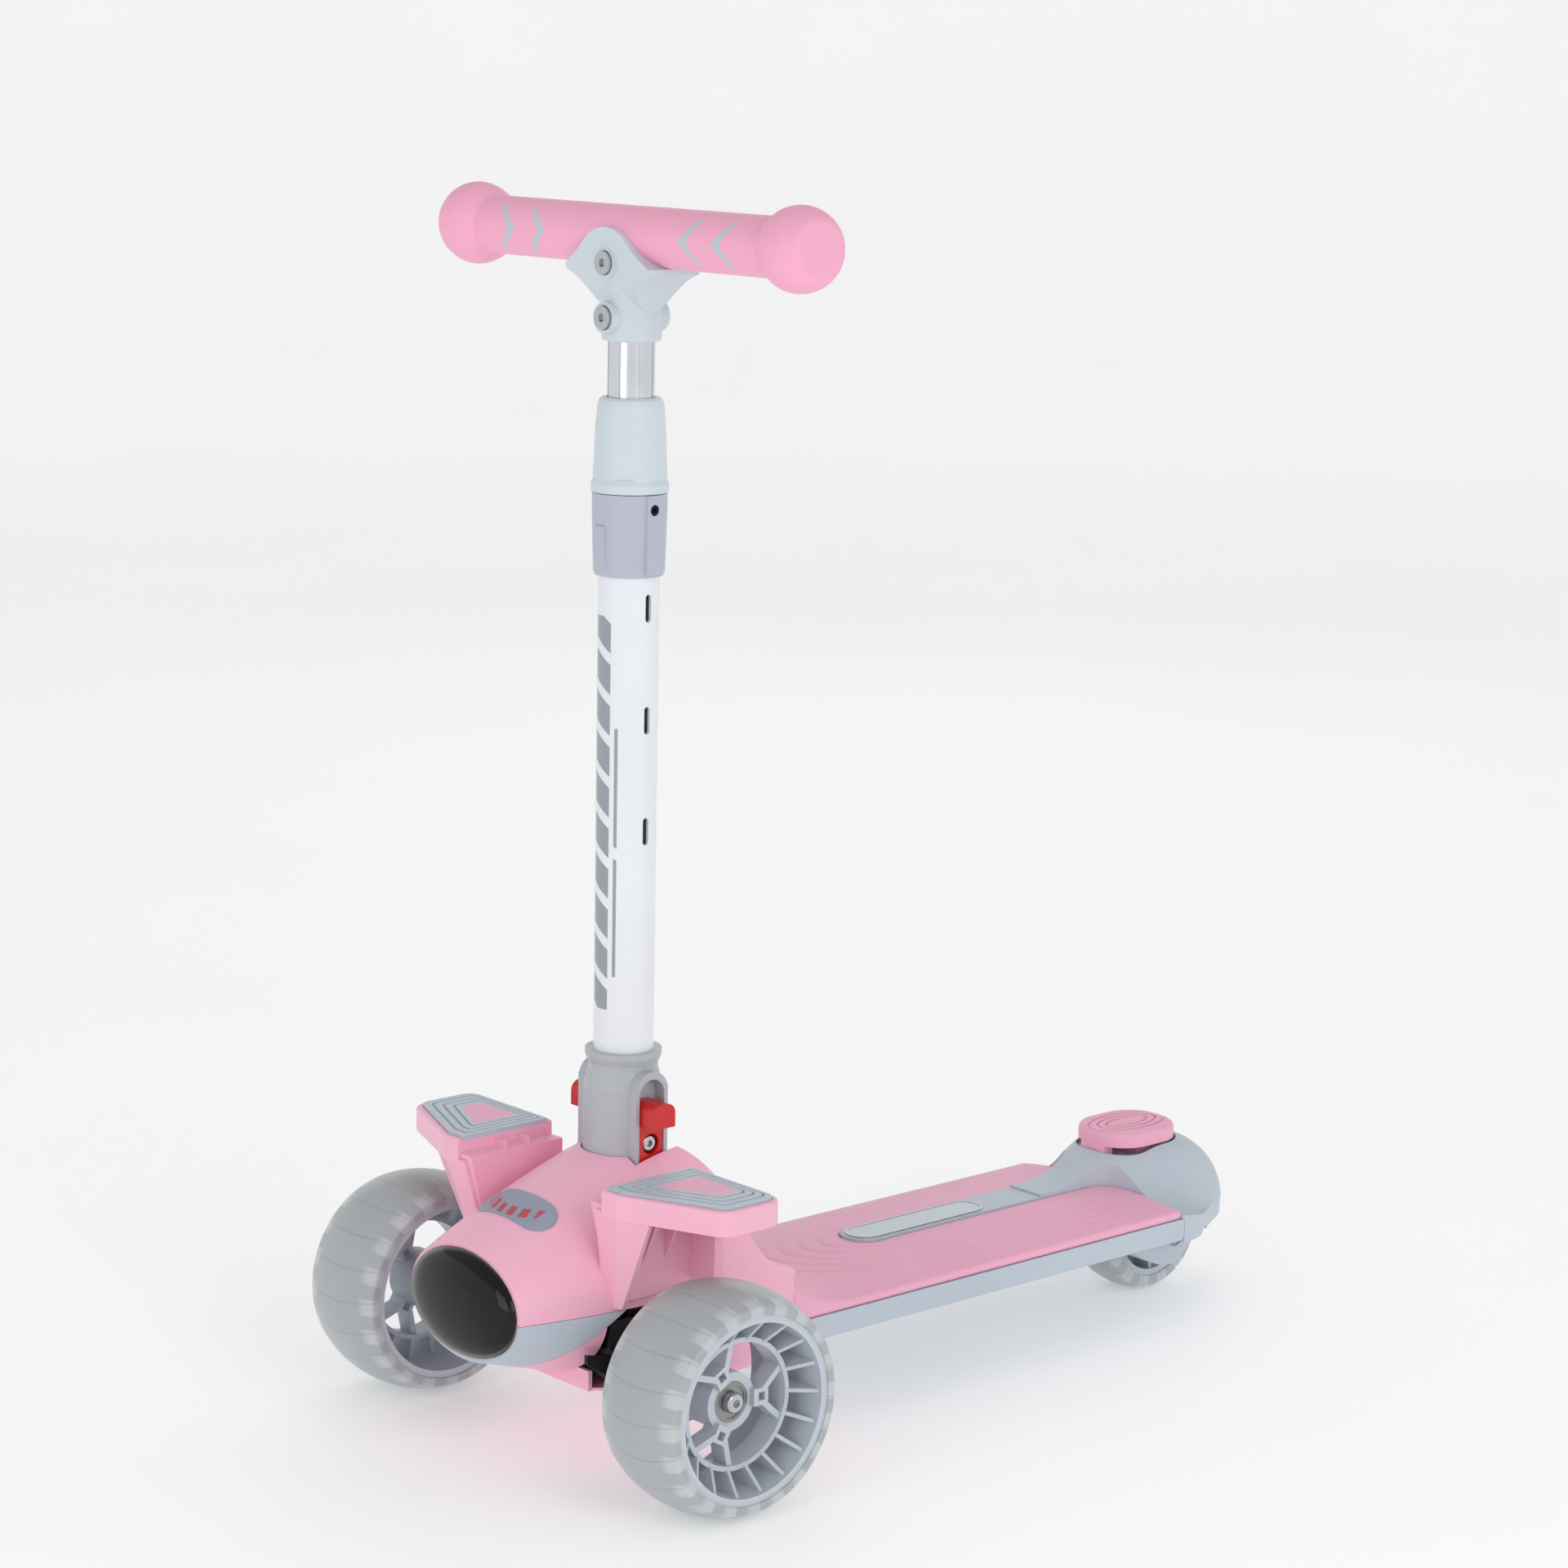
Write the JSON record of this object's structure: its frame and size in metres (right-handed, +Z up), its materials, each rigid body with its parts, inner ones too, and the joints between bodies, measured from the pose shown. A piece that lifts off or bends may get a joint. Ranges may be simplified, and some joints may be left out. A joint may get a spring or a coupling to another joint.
{
  "type": "kick scooter",
  "caption": "Folding children's kick scooter with lean-steered front wheels, a height-set T handlebar, crowned deck, foot platforms, nose lamp and rear foot brake.",
  "frame": {"origin": "middle of the footprint on the floor", "axes": "+Z up, rider faces -Y, +X to the rider's left"},
  "size_m": [0.306, 0.5724, 0.6574],
  "materials": {
    "pink_plastic": "satin moulded plastic",
    "grey_plastic": "satin moulded plastic",
    "collar_plastic": "satin moulded plastic",
    "white_paint": "gloss powder coat",
    "aluminium": "drawn, polished",
    "steel": "zinc plated",
    "chrome": "polished",
    "black_metal": "black coat",
    "red_plastic": "moulded plastic",
    "rim_plastic": "moulded nylon",
    "clear_tyre": "translucent cast polyurethane",
    "smoked_glass": "smoked clear plastic",
    "black_plastic": "moulded plastic",
    "reflector": "metallised pattern",
    "board": "circuit board",
    "rubber": "matt rubber",
    "bush_plastic": "acetal"
  },
  "bodies": {
    "chassis": {"head_shell": "pink_plastic", "nose_chin": "grey_plastic", "lower_housing": "pink_plastic", "footpad_left": "grey_plastic", "footpad_right": "grey_plastic", "footpad_inset_left": "pink_plastic", "footpad_inset_right": "pink_plastic", "lamp_bezel": "black_plastic", "lamp_lens": "smoked_glass", "lamp_reflector": "reflector", "lamp_board": "board", "nose_badge": "grey_plastic", "fold_bracket": "steel", "bracket_screws": "steel", "fold_pin": "steel", "lean_yoke": "steel", "lean_bolt": "steel", "deck_base": "grey_plastic", "deck_mat": "pink_plastic", "deck_spine": "grey_plastic", "deck_badge": "grey_plastic", "badge_rim": "chrome", "rear_fender": "grey_plastic", "rear_axle": "steel", "brake_pin": "steel"},
    "brake": {"brake_pedal": "pink_plastic"},
    "rear_wheel": {"rear_tyre": "clear_tyre", "rear_wheel_core": "rim_plastic", "rear_wheel_bearings": "steel"},
    "stem": {"hinge_socket": "grey_plastic", "outer_tube": "white_paint", "guide_bush": "bush_plastic", "stem_collar": "collar_plastic", "collar_screw": "black_metal"},
    "release": {"release_cap_left": "red_plastic", "release_cap_right": "red_plastic", "lock_bolt": "chrome"},
    "sleeve": {"height_sleeve": "grey_plastic"},
    "handlebar": {"inner_tube": "aluminium", "tube_plug": "black_plastic", "t_bracket": "grey_plastic", "t_bracket_bolts": "chrome", "bar_core": "steel", "bar_grip": "pink_plastic", "grip_chevrons": "grey_plastic"},
    "beam": {"axle_beam": "black_metal", "lean_bush": "rubber"},
    "tie": {"tie_rod": "steel"},
    "knuckle_left": {"knuckle_left": "rim_plastic", "kingpin_left": "steel", "wheel_bolt_left": "chrome"},
    "wheel_left": {"tyre_left": "clear_tyre", "wheel_core_left": "rim_plastic", "wheel_bearings_left": "steel"},
    "knuckle_right": {"knuckle_right": "rim_plastic", "kingpin_right": "steel", "wheel_bolt_right": "chrome"},
    "wheel_right": {"tyre_right": "clear_tyre", "wheel_core_right": "rim_plastic", "wheel_bearings_right": "steel"}
  },
  "joints": [
    {"name": "lean", "type": "hinge", "parent": "chassis", "child": "beam", "pos_m": [0, -0.20875, 0.085], "axis": [0, 1, 0], "range_deg": [-6, 6], "stiffness_Nm_per_rad": 60},
    {"name": "tie_slide", "type": "slide", "parent": "beam", "child": "tie", "axis": [1, 0, 0], "range_m": [-0.00272, 0.00272]},
    {"name": "fold", "type": "hinge", "parent": "chassis", "child": "stem", "pos_m": [0, -0.17045, 0.14], "axis": [-1, 0, 0], "range_deg": [0, 88]},
    {"name": "release_lift", "type": "slide", "parent": "stem", "child": "release", "axis": [0, 0, 1], "range_m": [0, 0.009], "stiffness_N_per_m": 300, "springref_m": -0.008},
    {"name": "sleeve_lift", "type": "slide", "parent": "stem", "child": "sleeve", "axis": [0, 0, 1], "range_m": [0, 0.008], "stiffness_N_per_m": 400, "springref_m": -0.006},
    {"name": "height", "type": "slide", "parent": "stem", "child": "handlebar", "axis": [0, 0, 1], "range_m": [0, 0.1755]},
    {"name": "brake_press", "type": "hinge", "parent": "chassis", "child": "brake", "pos_m": [0, 0.19525, 0.0835], "axis": [-1, 0, 0], "range_deg": [0, 5], "stiffness_Nm_per_rad": 4, "springref_deg": -8.59},
    {"name": "rear_wheel_spin", "type": "hinge", "parent": "chassis", "child": "rear_wheel", "pos_m": [0, 0.23125, 0.04], "axis": [1, 0, 0], "continuous": true},
    {"name": "steer_left", "type": "hinge", "parent": "beam", "child": "knuckle_left", "pos_m": [0.082, -0.20875, 0.06], "axis": [0, 0, 1], "range_deg": [-6.2, 6.2]},
    {"name": "wheel_left_spin", "type": "hinge", "parent": "knuckle_left", "child": "wheel_left", "pos_m": [0.125, -0.20875, 0.06], "axis": [1, 0, 0], "continuous": true},
    {"name": "steer_right", "type": "hinge", "parent": "beam", "child": "knuckle_right", "pos_m": [-0.082, -0.20875, 0.06], "axis": [0, 0, 1], "range_deg": [-6.2, 6.2]},
    {"name": "wheel_right_spin", "type": "hinge", "parent": "knuckle_right", "child": "wheel_right", "pos_m": [-0.125, -0.20875, 0.06], "axis": [1, 0, 0], "continuous": true}
  ],
  "couplings": [
    {"joint": "steer_left", "follows": "lean", "ratio": -1},
    {"joint": "steer_right", "follows": "lean", "ratio": -1},
    {"joint": "tie_slide", "follows": "lean", "m_per_rad": 0.025}
  ]
}
